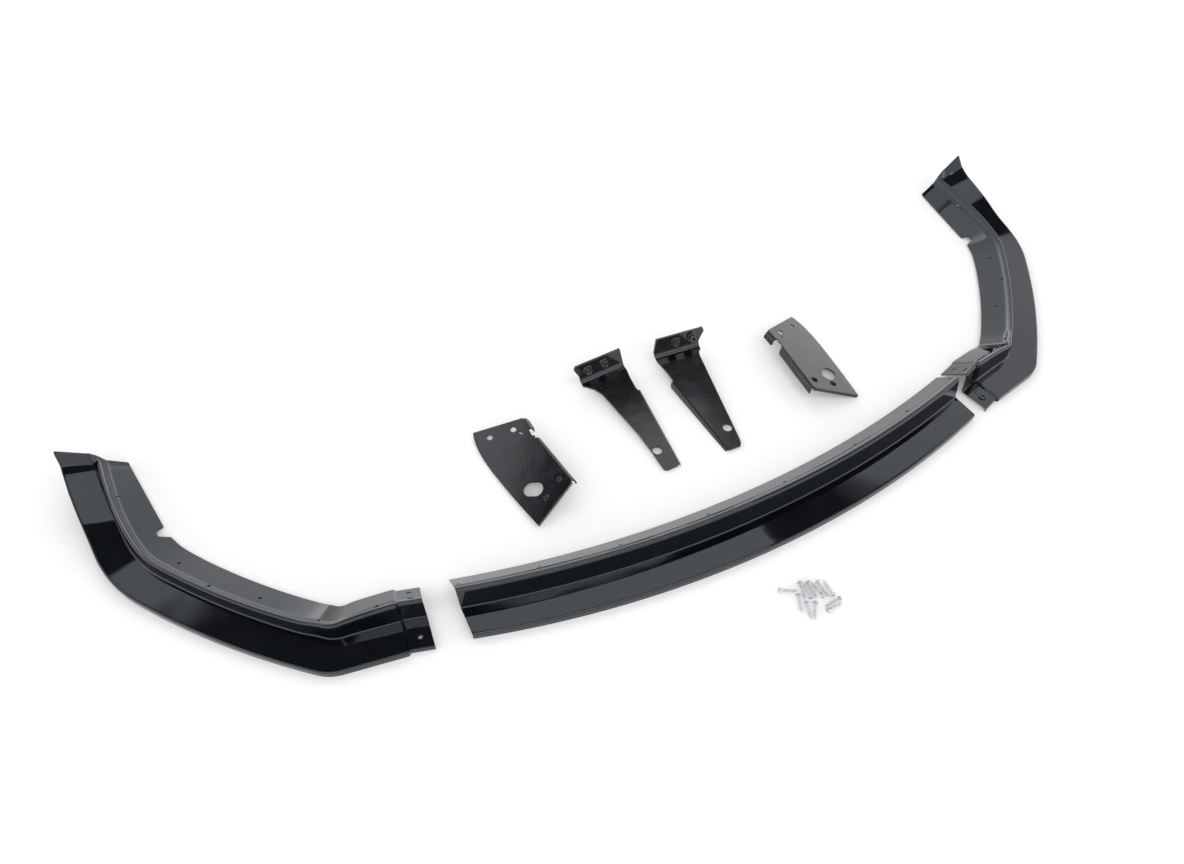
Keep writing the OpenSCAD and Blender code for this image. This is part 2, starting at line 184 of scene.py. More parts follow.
def gloss_black_plastic():
    """Polished black plastic: a slow waviness from moulding, faint wipe marks and a little dust on top."""
    black = (0.0022, 0.0032, 0.0048)
    dust = (0.10, 0.105, 0.115)
    material, tree, shader, place = finish("gloss_black_plastic", black, ior=1.58, tint=(0.86, 0.92, 1.0))
    specks = above(grain(tree, place, 900.0, 1.0), 0.735, 0.03)
    haze = above(grain(tree, place, 9.0, 4.0, 0.6), 0.50, 0.30)
    feed(mixed(specks * 0.55 + haze * 0.035, black, dust), shader, "Base Color")
    wiped = grain(tree, place, 26.0, 3.0, 0.6)
    feed(0.022 + 0.045 * haze + 0.02 * wiped + 0.2 * specks, shader, "Roughness")
    waves = grain(tree, place, 7.0, 1.0) + grain(tree, place, 420.0, 1.0) * 0.012
    bumped(shader, 0.35, 0.0022, waves)
    return material


def section(crease, wall, rear, low, deep, z_crease, z_wall, knee, z_rear, front, drop=0.0):
    """The outer line of a lip as twelve (distance back, height) corners. drop sets it inside itself."""
    soft = min(1.0, max(0.12, (z_wall - z_crease) / 12.0))
    nose = min(3.0, deep / 3.0)
    top = low + deep - drop
    s = drop
    front_edge = [(front + s, low), (front + s, top - nose), (front + s + 0.3 * nose, top - 0.3 * nose)]
    blade = [(front + s + nose, top), (crease - 1.6 * soft + s, z_crease - s)]
    upright = [(crease + s, z_crease + 1.6 * soft - s), (wall - 0.5 + s, z_wall - 2.4 * soft - s)]
    crown = [
        (wall + 1.1 + s, z_wall + 1.3 * soft - 1.1 * s),
        (wall + 3.9 + 0.8 * s, z_wall + 2.9 * soft - 1.15 * s),
        (wall + 8.4 + 0.55 * s, z_wall + 2.6 * soft - 0.36 * (knee + 2.8 * soft) - 0.95 * s)]
    flange = [(wall + crown_deep + 0.2 * s, z_wall - knee - 1.25 * s), (rear, z_rear - 1.3 * s)]
    return front_edge + blade + upright + crown + flange


def eased(corners, cuts, steps=4):
    """The line with each corner rounded: a cut is how far from the corner its curve starts."""
    line = [corners[0]]
    for before, at, after, cut in zip(corners, corners[1:], corners[2:], cuts):
        before, at, after = Vector(before), Vector(at), Vector(after)
        reach = min(cut, 0.48 * (at - before).length, 0.48 * (after - at).length)
        start = at + (before - at).normalized() * reach
        end = at + (after - at).normalized() * reach
        for i in range(steps + 1):
            t = i / steps
            line.append(tuple(start * (1 - t) ** 2 + at * 2 * t * (1 - t) + end * t ** 2))
    return line + [corners[-1]]


def outer_line(corners):
    """Rounded outer line of a section, always with the same number of points."""
    nose, crease, crown = [1.2, 1.2, 1.2], [0.8, 0.8], [1.9, 1.5, 1.6, 3.9, 6.0]
    return eased(corners, nose + crease + crown)


def inner_line(corners, thick):
    """The inside of the sheet, from the rear edge forwards: every corner moved in by the thickness."""
    sides = [(Vector(b) - Vector(a)).normalized() for a, b in zip(corners, corners[1:])]
    facing = [Vector((d.y, -d.x)) for d in sides]
    line = []
    for i, corner in enumerate(corners):
        a, b = facing[max(i - 1, 0)], facing[min(i, len(facing) - 1)]
        moved = Vector(corner) + (a + b) * (thick / (1.0 + a.dot(b)))
        line.append((moved.x, max(moved.y, 0.0)))
    return line[::-1]


def closed_ring(corners, thick):
    """The sheet's whole outline: the rounded outside, then the inside."""
    return outer_line(corners) + inner_line(corners, thick)


def plain_object(name, mesh):
    """Puts the mesh in the scene."""
    made = bpy.data.objects.new(name, mesh)
    bpy.context.scene.collection.objects.link(made)
    return made


def settle(source, name):
    """The shape that the modifiers give, as a plain mesh on an object of its own, its faces outwards."""
    graph = bpy.context.evaluated_depsgraph_get()
    mesh = bpy.data.meshes.new_from_object(source.evaluated_get(graph))
    bpy.data.objects.remove(source)
    shape = bmesh.new()
    shape.from_mesh(mesh)
    inside_out = shape.calc_volume(signed=True) < 0.0
    shape.free()
    if inside_out:
        mesh.flip_normals()
    return plain_object(name, mesh)


def node_group(name, sizes):
    """An empty Geometry Nodes tree with named inputs: (name, kind, value)."""
    tree = bpy.data.node_groups.new(name, "GeometryNodeTree")
    tree.interface.new_socket("Geometry", in_out="INPUT", socket_type="NodeSocketGeometry")
    tree.interface.new_socket("Geometry", in_out="OUTPUT", socket_type="NodeSocketGeometry")
    for label, kind, value in sizes:
        item = tree.interface.new_socket(label, in_out="INPUT", socket_type="NodeSocket" + kind)
        if value is not None:
            item.default_value = value
    start = tree.nodes.new("NodeGroupInput")
    return tree, {socket.name: Wire(tree, socket) for socket in start.outputs if socket.name}


def end_group(tree, geometry):
    """Leads the geometry out of the tree."""
    tree.links.new(geometry.socket, tree.nodes.new("NodeGroupOutput").inputs[0])


def run_group(target, tree, **values):
    """Puts the tree on the target as a modifier and sets inputs, each by its socket's identifier."""
    step = target.modifiers.new(tree.name, "NODES")
    step.node_group = tree
    for item in tree.interface.items_tree:
        key = item.name.lower().replace(" ", "_")
        if item.item_type == "SOCKET" and item.in_out == "INPUT" and key in values:
            step[item.identifier] = values[key]


def split(vector):
    """The three parts of a vector."""
    apart = vector.tree.nodes.new("ShaderNodeSeparateXYZ")
    vector.tree.links.new(vector.socket, apart.inputs[0])
    return [Wire(vector.tree, socket) for socket in apart.outputs]


def sweep_tree():
    """Carries the centre's outline along a line, bows it and makes the blade shallower at its ends."""
    tree, given = node_group("bowed_centre", [
        ("Outline", "Object", None), ("Length", "Float", centre_long * MM),
        ("Bow radius", "Float", centre_bow * MM), ("Front", "Float", centre_front * MM),
        ("Blade", "Float", blade_deep * MM), ("Blade at end", "Float", blade_deep_end * MM),
        ("Stations", "Int", 240)])
    half = given["Length"] * 0.5
    ends = [Wire.node(tree, "ShaderNodeCombineXYZ", None, {"X": side}) for side in (0.0 - half, half)]
    line = Wire.node(tree, "GeometryNodeCurvePrimitiveLine", None, {"Start": ends[0], "End": ends[1]})
    path = Wire.node(tree, "GeometryNodeResampleCurve", None, {"Curve": line, "Count": given["Stations"]})
    outline = Wire.node(tree, "GeometryNodeObjectInfo", None, {"Object": given["Outline"]}, out="Geometry")
    rim = Wire.node(tree, "GeometryNodeMeshToCurve", None, {"Mesh": outline})
    swept = Wire.node(tree, "GeometryNodeCurveToMesh", None,
                      {"Curve": path, "Profile Curve": rim, "Fill Caps": True})
    across, back, _ = split(Wire.node(tree, "GeometryNodeInputPosition"))
    radius = given["Bow radius"]
    bow = radius - (radius * radius - across * across) ** 0.5
    share = across / half
    shallow = (given["Blade at end"] - given["Blade"]) * share * share
    reach = Wire.node(tree, "ShaderNodeClamp", None, {"Value": back / given["Blade"]})
    move = Wire.node(tree, "ShaderNodeCombineXYZ", None, {"Y": given["Front"] + bow + shallow * reach})
    end_group(tree, Wire.node(tree, "GeometryNodeSetPosition", None, {"Geometry": swept, "Offset": move}))
    return tree


def kept(tree, label):
    """The vector that each point keeps under that label."""
    return Wire.node(tree, "GeometryNodeInputNamedAttribute", {"data_type": "FLOAT_VECTOR"}, {"Name": label})


def drill_tree():
    """Drills the piece at every point of Places, which holds each hole's turn and its width and depth."""
    tree, given = node_group("drilled_holes", [("Places", "Object", None), ("Sides", "Int", 32)])
    drill = Wire.node(tree, "GeometryNodeMeshCylinder", None,
                      {"Vertices": given["Sides"], "Radius": 0.5, "Depth": 1.0})
    points = Wire.node(tree, "GeometryNodeObjectInfo", None, {"Object": given["Places"]}, out="Geometry")
    turn, span = kept(tree, "turn"), kept(tree, "span")
    bits = Wire.node(tree, "GeometryNodeInstanceOnPoints", None,
                     {"Points": points, "Instance": drill, "Rotation": turn, "Scale": span})
    real = Wire.node(tree, "GeometryNodeRealizeInstances", None, {"Geometry": bits})
    cut = Wire.node(tree, "GeometryNodeMeshBoolean", {"operation": "DIFFERENCE", "solver": "EXACT"},
                    {"Mesh 1": given["Geometry"], "Mesh 2": real, "Self Intersection": True})
    end_group(tree, cut)
    return tree


def placed_points(name, places):
    """Loose points in millimetres: (place, turn, span), with turn and span kept as attributes."""
    mesh = bpy.data.meshes.new(name)
    mesh.from_pydata([tuple(Vector(at) * MM) for at, turn, span in places], [], [])
    for label, pick in (("turn", lambda p: p[1]), ("span", lambda p: Vector(p[2]) * MM)):
        values = mesh.attributes.new(label, "FLOAT_VECTOR", "POINT")
        for item, place in zip(values.data, places):
            item.vector = pick(place)
    return plain_object(name, mesh)


def drilled(piece, name, places):
    """The piece with a hole at each place."""
    holes = placed_points(name + "_places", places)
    run_group(piece, drill_tree(), places=holes)
    done = settle(piece, name)
    bpy.data.objects.remove(holes)
    return done


def flange_slope(corners):
    """How steeply the flange falls, in radians."""
    return math.atan2(corners[10][1] - corners[11][1], corners[11][0] - corners[10][0])


def polished(piece, material, crisp=50.0, edge=0.4):
    """Breaks the sharp edges a little, keeps the flat faces flat in reflections and puts the material on."""
    mesh = piece.data
    mesh.materials.clear()
    mesh.materials.append(material)
    mesh.shade_smooth()
    bevel = piece.modifiers.new("broken_edges", "BEVEL")
    bevel.width = edge * MM
    bevel.segments = 2
    bevel.limit_method = "ANGLE"
    bevel.angle_limit = math.radians(crisp)
    bevel.use_clamp_overlap = True
    mesh.set_sharp_from_angle(angle=math.radians(crisp))
    even = piece.modifiers.new("even_shading", "WEIGHTED_NORMAL")
    even.mode = "FACE_AREA"
    even.keep_sharp = True
    return piece


def belongs(piece, node_names):
    """Rides on the set and stands for its solids."""
    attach(piece, "root")
    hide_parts(*node_names)


plastic = gloss_black_plastic()
centre_corners = section(
    crease=blade_deep, wall=blade_deep + wall_run, rear=blade_deep + flange_run, low=0, deep=lip_edge,
    z_crease=crease_height, z_wall=wall_top + 1, knee=2, z_rear=flange_edge, front=0)
centre_ring = closed_ring(centre_corners, sheet)
outline_mesh = bpy.data.meshes.new("centre_outline")
count = len(centre_ring)
outline_mesh.from_pydata([(-back * MM, -z * MM, 0.0) for back, z in centre_ring],
                         [(i, (i + 1) % count) for i in range(count)], [])
outline = plain_object("centre_outline", outline_mesh)
seed = plain_object("centre_seed", bpy.data.meshes.new("centre_seed"))
run_group(seed, sweep_tree(), outline=outline)
centre = settle(seed, "centre_shell")
bpy.data.objects.remove(outline)

centre_slope = flange_slope(centre_corners)
centre_places = []
for x in centre_hole_at:
    share = abs(x) / (centre_long / 2)
    deep = blade_deep + (blade_deep_end - blade_deep) * share ** 2
    plan = math.asin(x / centre_bow)
    y = centre_front + centre_bow * (1 - math.cos(plan)) + deep + wall_run + centre_hole_back
    z = centre_corners[10][1] - (centre_hole_back - crown_deep) * math.tan(centre_slope)
    tip = math.atan(math.tan(centre_slope) / math.cos(plan))
    centre_places.append(((x, y, z), (-tip, 0.0, plan), (hole_wide, hole_wide, centre_drill)))
centre = drilled(centre, "centre_section", centre_places)
centre.data.transform(Matrix.Translation(set_place * MM))
polished(centre, plastic)
belongs(centre, ["lip_centre"])

# ---- Wheel-arch sections ----
# The same moulding carried round each corner of the bumper, in the same plastic. It starts with a stepped tab
# that slides under the centre section and ends in a strip turned up against the wheel arch.
side_joint = (-580.0, -265.0)
run_front = 95.0
chin_radius = 74.0
chin_turn = 31.2
run_sweep, sweep_turn = 320.0, 13.3
run_bend, bend_turn = 121.0, 27.9
run_rear, rear_turn = 170.0, 2.6
tab_long = 40.0
tab_step = 4.5
tab_sheet = 2.0
tab_heading = -16.0
joint_heading = 174.0
run_heading = 171.0
fan_from, fan_to = 35.0, 195.0
strip_tall = 20.0
strip_starts = 3.4
shell_stations = 190
tab_starts = 3.5
legs = ((run_front, 0.0), (chin_radius * math.radians(chin_turn), chin_turn), (run_sweep, sweep_turn),
        (run_bend, bend_turn), (run_rear, rear_turn))
chin_end = legs[0][0] + legs[1][0]
arch_long = chin_end + run_sweep + run_bend + run_rear
wall_drop = ((0, 0), (30, 1), (80, 5), (140, 10), (190, 14.5), (250, 16),
             (480, 15), (640, 11), (705, 8.5), (746, 5.5))
rear_drop = ((0, 0), (40, 2), (80, 4), (190, 6.5), (440, 9), (746, 9.5))
# how each size changes with the distance from the joint
side_sizes = {
    "crease": ((0, 54), (90, 54.5), (150, 53), (190, 50.5), (480, 50), (640, 47), (746, 46)),
    "wall": ((0, 59), (90, 58), (150, 56), (190, 53.5), (480, 52.5),
             (540, 53.5), (640, 49), (700, 49.5), (746, 51.5)),
    "rear": ((0, 110), (90, 110), (190, 105), (400, 106), (500, 107.5), (560, 106), (665, 99), (746, 91.5)),
    "low": ((0, 0), (380, 0), (490, 2), (540, 4), (575, 7),
            (600, 11), (651, 24), (691, 32), (723, 39), (746, 51)),
    "deep": ((0, lip_edge), (700, lip_edge), (746, lip_edge + 1.5)),
    "z_crease": ((0, crease_height), (520, crease_height), (560, 13), (600, 17),
                 (651, 25), (700, 34), (746, 41)),
    "z_wall": tuple((distance, wall_top - drop) for distance, drop in wall_drop),
    "knee": ((0, 2), (60, 3), (150, 6.5), (440, 8), (660, 12), (746, 15)),
    "z_rear": tuple((distance, flange_edge - drop) for distance, drop in rear_drop),
    "front": ((0, 0), (690, 0), (724, 1.5), (746, 5)),
}
side_hole_at = ((28, 10), (151, 11), (274, 26), (360, 13), (439, 27), (662, 14))
left_first_hole, right_first_hole = 1.5, 0.0
side_drill = 14.0
notch_outline = (
    (-116, -21), (-104.7, -14.5), (-95.5, -10), (-93.2, -7.5), (-92, 5), (-108.4, 13.8), (-116, 18))
notch_at = 556.0
boss_at = (22.6, 24.0)
boss_wide, boss_hole = 12.8, 7.0
dot_wide = 3.2
slot_wide = 5.0
rear_hole_wide = 8.0
right_shift = Vector((-32.5, -26.5, 0.0))
right_turn = 2.3


def along(distance, table):
    """Reads a table of (distance, size) on a smooth curve that never overshoots its entries."""
    xs, ys = [x for x, y in table], [y for x, y in table]
    if distance <= xs[0] or distance >= xs[-1]:
        return ys[0] if distance <= xs[0] else ys[-1]
    grades = [(y2 - y1) / (x2 - x1) for (x1, y1), (x2, y2) in zip(table, table[1:])]
    inner = [0.0 if a * b <= 0 else 2 * a * b / (a + b) for a, b in zip(grades, grades[1:])]
    leans = [grades[0]] + inner + [grades[-1]]
    i = max(k for k in range(len(grades)) if xs[k] <= distance)
    span = xs[i + 1] - xs[i]
    t = (distance - xs[i]) / span
    return (ys[i] * (1 + 2 * t) * (1 - t) ** 2 + leans[i] * span * t * (1 - t) ** 2
            + ys[i + 1] * t * t * (3 - 2 * t) + leans[i + 1] * span * t * t * (t - 1))


def smooth(t):
    """Rises gently from 0 to 1."""
    t = min(1.0, max(0.0, t))
    return t * t * (3 - 2 * t)


def walk(distance):
    """Where the front edge is at that distance from the joint, and its heading in degrees."""
    x, y = side_joint
    heading = run_heading
    for i, (length, turn) in enumerate(legs):
        part = distance if i == len(legs) - 1 else min(distance, length)
        ends = heading - turn * part / length
        a, b = math.radians(heading), math.radians(ends)
        if turn == 0:
            x, y = x + part * math.cos(a), y + part * math.sin(a)
        else:
            radius = length / math.radians(turn)
            x, y = x + radius * (math.sin(a) - math.sin(b)), y + radius * (math.cos(b) - math.cos(a))
        heading = ends
        distance -= part
        if distance <= 0:
            break
    return x, y, heading


def fan(distance):
    """The section lines turn over a longer stretch than the chin corner itself."""
    if distance < fan_from:
        return joint_heading - (joint_heading - run_heading) * smooth(distance / fan_from)
    if distance < fan_to:
        turned = chin_turn * smooth((distance - fan_from) / (fan_to - fan_from))
        return run_heading - turned - sweep_turn * max(0.0, distance - chin_end) / run_sweep
    return walk(distance)[2]


def laid(x, y, heading, ring):
    """Stands a flat ring up across that heading. A third value shifts a point along the heading."""
    a = math.radians(heading)
    out = []
    for point in ring:
        shift = point[2] if len(point) > 2 else 0.0
        out.append((x + point[0] * math.sin(a) + shift * math.cos(a),
                    y - point[0] * math.cos(a) + shift * math.sin(a), point[1]))
    return out


def side_corners(distance, drop=0.0):
    """The corners of the outer line at that distance from the joint."""
    return section(drop=drop, **{name: along(distance, table) for name, table in side_sizes.items()})


def side_ring(distance):
    """The whole section at that distance, in its place."""
    x, y, heading = walk(distance)
    return laid(x, y, fan(distance), closed_ring(side_corners(distance), sheet))


def strip_ring(distance):
    """The last rings rise above the shell as a strip, drawn out to a point at the lip's outer corner."""
    x, y, heading = walk(distance)
    size = {name: along(distance, table) for name, table in side_sizes.items()}
    rise = ((size["front"], 0.7), (size["crease"], 0.92), (size["wall"] + 4, 0.34),
            (size["wall"] + crown_deep, 0.1), (size["rear"], 0.13))
    lean = ((size["front"] + 3, 0.8), (size["front"] + 14, 0.4), (size["crease"], 0.3), (size["rear"], 0.15))
    corners = side_corners(distance)
    outer = outer_line(corners)
    raised = [outer[0]] + [(back, z + strip_tall * along(back, rise), strip_tall * along(back, lean))
                           for back, z in outer[1:]]
    return laid(x, y, heading, raised + inner_line(corners, sheet))


def tab_place(along_tab, back):
    """A point of the joint tab in plan."""
    a, b = math.radians(tab_heading), math.radians(joint_heading)
    return (side_joint[0] + along_tab * math.cos(a) + back * math.sin(b),
            side_joint[1] + along_tab * math.sin(a) - back * math.cos(b))


def tab_ring(distance):
    """The tab's section: the shell's own at the joint, set down by a step, in a thinner sheet."""
    x, y = tab_place(distance, 0.0)
    corners = side_corners(0.0, tab_step)
    return laid(x, y, joint_heading, outer_line(corners) + inner_line(corners, tab_sheet))


def lofted(name, rings):
    """Joins the rings into one closed skin. In its caps each inner corner meets a point of the outer line."""
    shape = bmesh.new()
    rows = [[shape.verts.new(Vector(point) * MM) for point in ring] for ring in rings]
    n = len(rows[0])
    for one, two in zip(rows, rows[1:]):
        for k in range(n):
            shape.faces.new((one[k], two[k], two[(k + 1) % n], one[(k + 1) % n]))
    corner_count = len(centre_corners)
    outer = n - corner_count
    for row in (rows[0], rows[-1]):
        inner = row[outer:][::-1]
        steps = [round(i * (outer - 1) / (corner_count - 1)) for i in range(corner_count)]
        for a, b, p, q in zip(steps, steps[1:], inner, inner[1:]):
            shape.faces.new(row[a:b + 1] + [q, p])
    bmesh.ops.recalc_face_normals(shape, faces=shape.faces)
    mesh = bpy.data.meshes.new(name)
    shape.to_mesh(mesh)
    shape.free()
    return plain_object(name, mesh)


def prism(name, outline, height, turn):
    """An upright solid of that plan, or a drum where outline is a (radius, sides) pair; turn places it."""
    if isinstance(outline[0], (int, float)):
        radius, sides = outline
        around = [math.tau * i / sides for i in range(sides)]
        outline = [(radius * math.cos(a), radius * math.sin(a)) for a in around]
    shape = bmesh.new()
    low = [shape.verts.new(turn @ Vector((x, y, 0.0)) * MM) for x, y in outline]
    high = [shape.verts.new(turn @ Vector((x, y, height)) * MM) for x, y in outline]
    shape.faces.new(low)
    shape.faces.new(high)
    for i in range(len(low)):
        j = (i + 1) % len(low)
        shape.faces.new((low[i], low[j], high[j], high[i]))
    bmesh.ops.recalc_face_normals(shape, faces=shape.faces)
    mesh = bpy.data.meshes.new(name)
    shape.to_mesh(mesh)
    shape.free()
    return plain_object(name, mesh)


def combined(piece, name, tools):
    """Adds or cuts away whole shapes: tools is a list of (shape, operation)."""
    for tool, operation in tools:
        step = piece.modifiers.new(tool.name, "BOOLEAN")
        step.object = tool
        step.operation = operation
        step.solver = "EXACT"
    done = settle(piece, name)
    for tool, operation in tools:
        bpy.data.objects.remove(tool)
    return done


tab_stations = [tab_long - i * (tab_long - tab_starts) / 9 for i in range(10)]
side_stations = [(arch_long - strip_starts) * i / shell_stations for i in range(shell_stations + 1)]
left = lofted("left_shell", [tab_ring(d) for d in tab_stations] + [side_ring(d) for d in side_stations]
              + [strip_ring(arch_long - sheet), strip_ring(arch_long)])


def on_tab(along_tab, back, z):
    """Places an upright shape on the tab, square to it."""
    x, y = tab_place(along_tab, back)
    return Matrix.Translation((x, y, z)) @ Matrix.Rotation(math.radians(joint_heading - 180), 4, "Z")


notch_x, notch_y, notch_heading = walk(notch_at)
notch_turn = (Matrix.Translation((notch_x, notch_y, -5))
              @ Matrix.Rotation(math.radians(notch_heading + 90), 4, "Z"))
left = combined(left, "left_joined", [
    (prism("tab_boss", (boss_wide / 2, 48), 2.9, on_tab(*boss_at, 7.1)), "UNION"),
    (prism("tab_dot_a", (dot_wide / 2, 20), 1.9, on_tab(17, 41, 6.4)), "UNION"),
    (prism("tab_dot_b", (dot_wide / 2, 20), 1.9, on_tab(23, 41, 6.4)), "UNION"),
    (prism("notch", notch_outline, 30, notch_turn), "DIFFERENCE")])


def side_drills(first_hole):
    """Where the side section is drilled. Its first hole sits first_hole further along."""
    places = []
    for number, (distance, off) in enumerate(side_hole_at):
        distance += first_hole if number == 0 else 0.0
        corners = side_corners(distance)
        x, y, heading = walk(distance)
        slope = flange_slope(corners)
        back = along(distance, side_sizes["wall"]) + off
        a = math.radians(fan(distance))
        z = corners[10][1] - max(off - crown_deep, 0) * math.tan(slope)
        places.append(((x + back * math.sin(a), y - back * math.cos(a), z),
                       (-slope, 0.0, a - math.pi), (hole_wide, hole_wide, side_drill)))
    sloping = (math.radians(-41), 0.0, math.radians(joint_heading - 180))
    upright = (0.0, 0.0, 0.0)
    for at, z, turn, wide, deep in (
            ((22, 96), 20, sloping, rear_hole_wide, 16), ((20.8, 76), 38, sloping, slot_wide, side_drill),
            ((24.8, 76), 38, sloping, slot_wide, side_drill), (boss_at, 10, upright, boss_hole, 20)):
        places.append(((*tab_place(*at), z), turn, (wide, wide, deep)))
    return places


right = plain_object("right_blank", left.data.copy())
right = drilled(right, "right_section", side_drills(right_first_hole))
left = drilled(left, "left_section", side_drills(left_first_hole))
right_at = (Matrix.Translation(set_place * MM) @ Matrix.Translation(right_shift * MM)
            @ Matrix.Rotation(math.radians(right_turn), 4, "Z") @ Matrix.Diagonal((-1, 1, 1, 1)))
right.data.transform(right_at)
right.data.flip_normals()
left.data.transform(Matrix.Translation(set_place * MM))
for piece, node in ((left, "lip_left"), (right, "lip_right")):
    polished(piece, plastic)
    belongs(piece, [node])

# ---- Plates and arms ----
# Four brackets stamped and folded from black painted steel: flat outer plates with slots, and inner arms with
# an upturned head. Paint builds up a soft edge all round, over the sheared metal.


def black_painted_steel():
    """Black paint over pressed steel: even gloss, fine orange peel and a few scuffs."""
    black = (0.0040, 0.0046, 0.0058)
    worn = (0.055, 0.057, 0.062)
    material, tree, shader, place = finish(
        "black_painted_steel", black, coat=0.15, coat_roughness=0.05, ior=1.58, tint=(0.90, 0.94, 1.0))
    scuffs = above(grain(tree, place, 34.0, 6.0, 0.75), 0.60, 0.16)
    specks = above(grain(tree, place, 1100.0, 1.0), 0.74, 0.03)
    feed(mixed(scuffs * 0.16 + specks * 0.5, black, worn), shader, "Base Color")
    feed(0.05 + 0.05 * grain(tree, place, 18.0, 3.0) + 0.14 * scuffs, shader, "Roughness")
    peel = grain(tree, place, 330.0, 2.0) + grain(tree, place, 24.0, 1.0) * 2.4
    bumped(shader, 0.3, 0.0004, peel)
    return material


def from_solid(node, name):
    """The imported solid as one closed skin, with its flat faces whole."""
    shape = bmesh.new()
    shape.from_mesh(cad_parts[node].data)
    bmesh.ops.remove_doubles(shape, verts=shape.verts, dist=0.004 * MM)
    bmesh.ops.dissolve_limit(shape, angle_limit=math.radians(0.4), verts=shape.verts, edges=shape.edges)
    mesh = bpy.data.meshes.new(name)
    shape.to_mesh(mesh)
    shape.free()
    return plain_object(name, mesh)


paint = black_painted_steel()
for kind in ("plate", "arm"):
    for side in ("left", "right"):
        bracket = polished(from_solid(f"{kind}_{side}", f"{side}_{kind}"), paint, crisp=30.0, edge=0.45)
        belongs(bracket, [f"{kind}_{side}"])

# ---- Nuts ----
# Captive hexagon nuts, plated dark: two welded under each plate, and two flanged ones behind each arm's head.


def dark_plated_steel():
    """Dark plating on steel: dull metal with cloudy stains."""
    dark = (0.045, 0.045, 0.047)
    light = (0.20, 0.20, 0.205)
    material, tree, shader, place = finish("dark_plated_steel", dark, metallic=0.85)
    clouds = grain(tree, place, 160.0, 4.0, 0.6)
    feed(mixed(above(clouds, 0.42, 0.25), dark, light), shader, "Base Color")
    feed(0.28 + 0.22 * clouds, shader, "Roughness")
    bumped(shader, 0.25, 0.0002, grain(tree, place, 1500.0))
    return material


plating = dark_plated_steel()
for kind in ("plate", "arm"):
    for side in ("left", "right"):
        for number in (1, 2):
            node = f"{kind}_nut_{side}_{number}"
            nut = polished(from_solid(node, f"{side}_{kind}_nut_{number}"), plating, crisp=30.0, edge=0.4)
            belongs(nut, [node])

# ---- Screws ----
# Twelve bright zinc self-tapping screws, loose on the floor: a domed head with a cross recess, and a coarse
# thread rolled right down to the point. Each one lies on its head's rim and its shank.
screw_long = 28.0
screw_wide = 4.2
head_wide = 8.4
head_tall = 2.6
thread_pitch = 1.8
thread_root = 0.70
thread_starts, thread_full = 0.8, 1.6
point_long = 5.5
rests_from_point = 4.0
recess_long, recess_wide, recess_deep = 4.4, 1.0, 1.8
# each screw's place from the middle of the set, and the way that its point lies
screw_at = (
    (5, -420, -107), (6, -447, 78), (17, -425, -96), (24, -453.5, 92), (31, -431, -87), (39, -458.5, 83),
    (-29.5, -417.5, -25), (-10, -437, -114), (-6, -453, -108), (44, -469, -179), (17, -477.5, 1),
    (6, -459, -125))


def zinc_plated_steel():
    """Bright zinc: pale metal, slightly blue, with soft cloudy patches."""
    bright = (0.62, 0.64, 0.67)
    dull = (0.40, 0.41, 0.43)
    material, tree, shader, place = finish("zinc_plated_steel", bright, metallic=1.0)
    clouds = grain(tree, place, 240.0, 3.0, 0.6)
    feed(mixed(above(clouds, 0.45, 0.25), bright, dull), shader, "Base Color")
    feed(0.20 + 0.18 * clouds, shader, "Roughness")
    bumped(shader, 0.2, 0.0001, grain(tree, place, 2600.0))
    return material


def spread_out(tree, geometry, share):
    """Moves each point out from the axis: share multiplies its distance."""
    x, y, z = split(Wire.node(tree, "GeometryNodeInputPosition"))
    factor = share(x, y, z)
    place = Wire.node(tree, "ShaderNodeCombineXYZ", None, {"X": x * factor, "Y": y * factor, "Z": z})
    return Wire.node(tree, "GeometryNodeSetPosition", None, {"Geometry": geometry, "Position": place})


def shifted(tree, geometry, z):
    """Moves the shape along its axis."""
    by = Wire.node(tree, "ShaderNodeCombineXYZ", None, {"Z": z})
    return Wire.node(tree, "GeometryNodeTransform", None, {"Geometry": geometry, "Translation": by})


def between(value, low, high):
    """0 at low, 1 at high, and flat outside."""
    return Wire.node(value.tree, "ShaderNodeClamp", None, {"Value": (value - low) / (high - low)})


